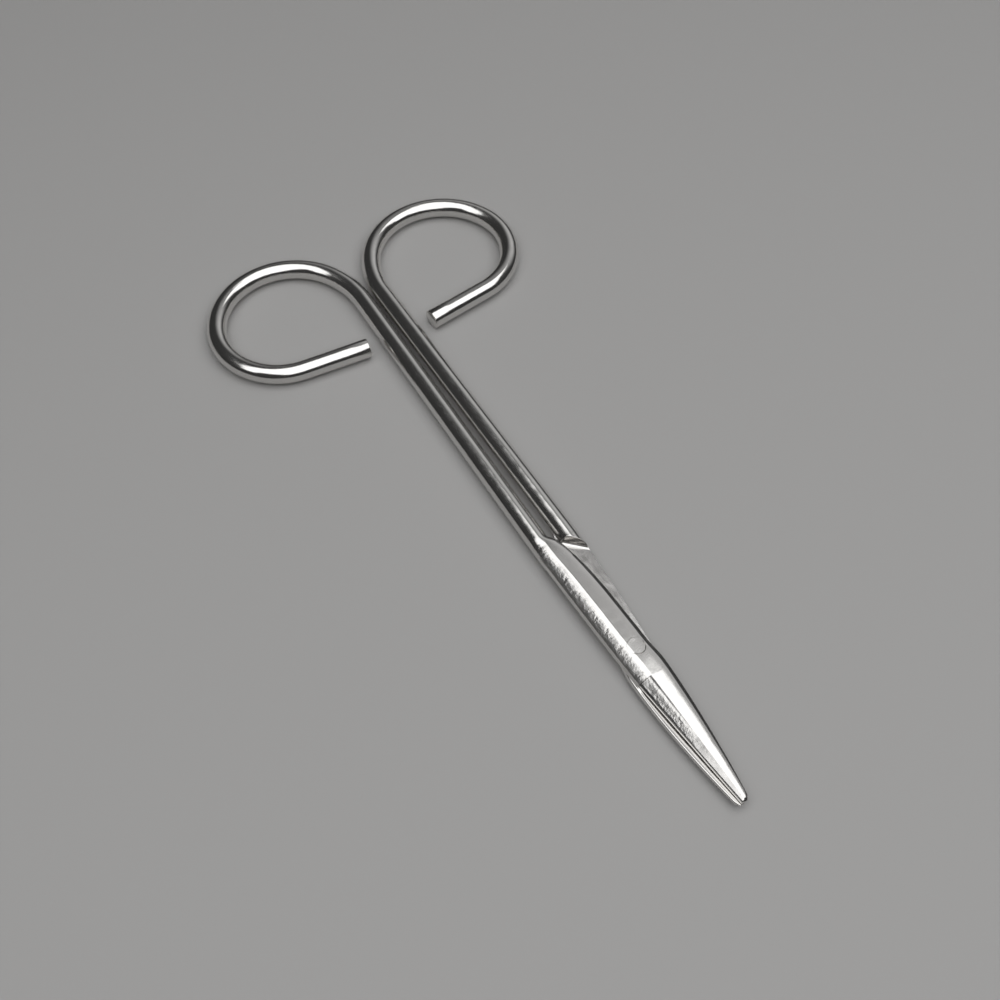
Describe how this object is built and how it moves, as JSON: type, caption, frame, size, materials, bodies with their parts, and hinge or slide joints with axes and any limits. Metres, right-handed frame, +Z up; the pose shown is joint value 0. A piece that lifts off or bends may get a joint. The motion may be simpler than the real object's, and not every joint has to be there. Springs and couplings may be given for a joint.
{
  "type": "surgical scissors",
  "caption": "Straight surgical scissors with slim half-round blades, a flush rivet in a lap joint, and open finger loops bent from round rod.",
  "frame": {"origin": "under the middle of the closed scissors, on the surface they lie on", "axes": "+X along the shanks to the blade tips, +Y across the loops to the lower half's loop, +Z up out of the surface, along the rivet"},
  "size_m": [0.1486, 0.0694, 0.004],
  "materials": {
    "plated_steel": "polished nickel plate on forged steel, lightly worn",
    "rivet_steel": "polished, dressed flush"
  },
  "bodies": {
    "lower": {"lower_half": "plated_steel", "rivet": "rivet_steel"},
    "upper": {"upper_half": "plated_steel"}
  },
  "joints": [
    {"name": "rivet_hinge", "type": "hinge", "parent": "lower", "child": "upper", "pos_m": [0.04188, 0, 0.002], "axis": [0, 0, 1], "range_deg": [0, 160]}
  ]
}
